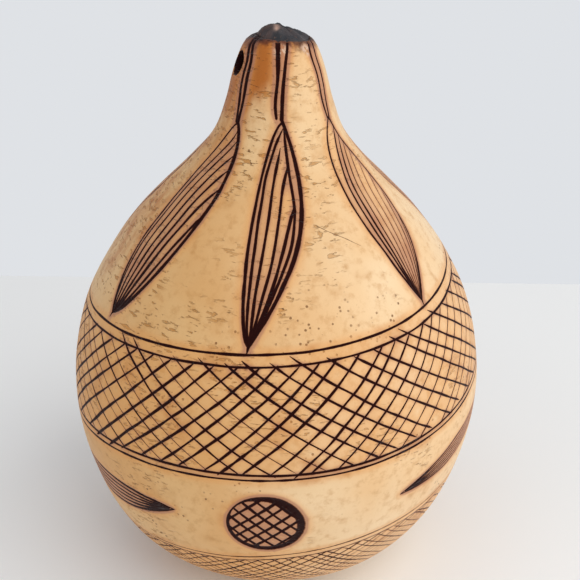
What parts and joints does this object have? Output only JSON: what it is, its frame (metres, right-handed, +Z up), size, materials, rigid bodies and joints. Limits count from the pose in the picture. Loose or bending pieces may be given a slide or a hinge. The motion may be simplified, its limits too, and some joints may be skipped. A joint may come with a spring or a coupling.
{
  "type": "gourd guiro",
  "caption": "Hollow bottle-gourd percussion body with a short neck, a drilled neck hole, burnt crosshatch bands and leaf motifs, a charred stem stub and loose seeds that rattle.",
  "frame": {"origin": "centre of the flat foot the gourd stands on", "axes": "+Z up along the gourd's turning axis from foot to stem, +X to the right as seen from the front, front of the decoration towards -Y"},
  "size_m": [0.1404, 0.1404, 0.1892],
  "materials": {
    "rind": "dry matte gourd rind with burnt lines",
    "charred_stem": "charred, rough",
    "dry_seed": "dry, dull"
  },
  "bodies": {
    "gourd": {"gourd_shell": "rind", "stem_stub": "charred_stem"},
    "seed_01": {"seed_01": "dry_seed"},
    "seed_02": {"seed_02": "dry_seed"},
    "seed_03": {"seed_03": "dry_seed"},
    "seed_04": {"seed_04": "dry_seed"},
    "seed_05": {"seed_05": "dry_seed"},
    "seed_06": {"seed_06": "dry_seed"},
    "seed_07": {"seed_07": "dry_seed"},
    "seed_08": {"seed_08": "dry_seed"},
    "seed_09": {"seed_09": "dry_seed"},
    "seed_10": {"seed_10": "dry_seed"},
    "seed_11": {"seed_11": "dry_seed"},
    "seed_12": {"seed_12": "dry_seed"},
    "seed_13": {"seed_13": "dry_seed"},
    "seed_14": {"seed_14": "dry_seed"}
  },
  "joints": [
    {"name": "seed_01_hop", "type": "slide", "parent": "gourd", "child": "seed_01", "axis": [0, 0, 1], "range_m": [0, 0.09]},
    {"name": "seed_02_hop", "type": "slide", "parent": "gourd", "child": "seed_02", "axis": [0, 0, 1], "range_m": [0, 0.09]},
    {"name": "seed_03_hop", "type": "slide", "parent": "gourd", "child": "seed_03", "axis": [0, 0, 1], "range_m": [0, 0.09]},
    {"name": "seed_04_hop", "type": "slide", "parent": "gourd", "child": "seed_04", "axis": [0, 0, 1], "range_m": [0, 0.09]},
    {"name": "seed_05_hop", "type": "slide", "parent": "gourd", "child": "seed_05", "axis": [0, 0, 1], "range_m": [0, 0.09]},
    {"name": "seed_06_hop", "type": "slide", "parent": "gourd", "child": "seed_06", "axis": [0, 0, 1], "range_m": [0, 0.09]},
    {"name": "seed_07_hop", "type": "slide", "parent": "gourd", "child": "seed_07", "axis": [0, 0, 1], "range_m": [0, 0.09]},
    {"name": "seed_08_hop", "type": "slide", "parent": "gourd", "child": "seed_08", "axis": [0, 0, 1], "range_m": [0, 0.09]},
    {"name": "seed_09_hop", "type": "slide", "parent": "gourd", "child": "seed_09", "axis": [0, 0, 1], "range_m": [0, 0.09]},
    {"name": "seed_10_hop", "type": "slide", "parent": "gourd", "child": "seed_10", "axis": [0, 0, 1], "range_m": [0, 0.09]},
    {"name": "seed_11_hop", "type": "slide", "parent": "gourd", "child": "seed_11", "axis": [0, 0, 1], "range_m": [0, 0.09]},
    {"name": "seed_12_hop", "type": "slide", "parent": "gourd", "child": "seed_12", "axis": [0, 0, 1], "range_m": [0, 0.09]},
    {"name": "seed_13_hop", "type": "slide", "parent": "gourd", "child": "seed_13", "axis": [0, 0, 1], "range_m": [0, 0.09]},
    {"name": "seed_14_hop", "type": "slide", "parent": "gourd", "child": "seed_14", "axis": [0, 0, 1], "range_m": [0, 0.09]}
  ]
}
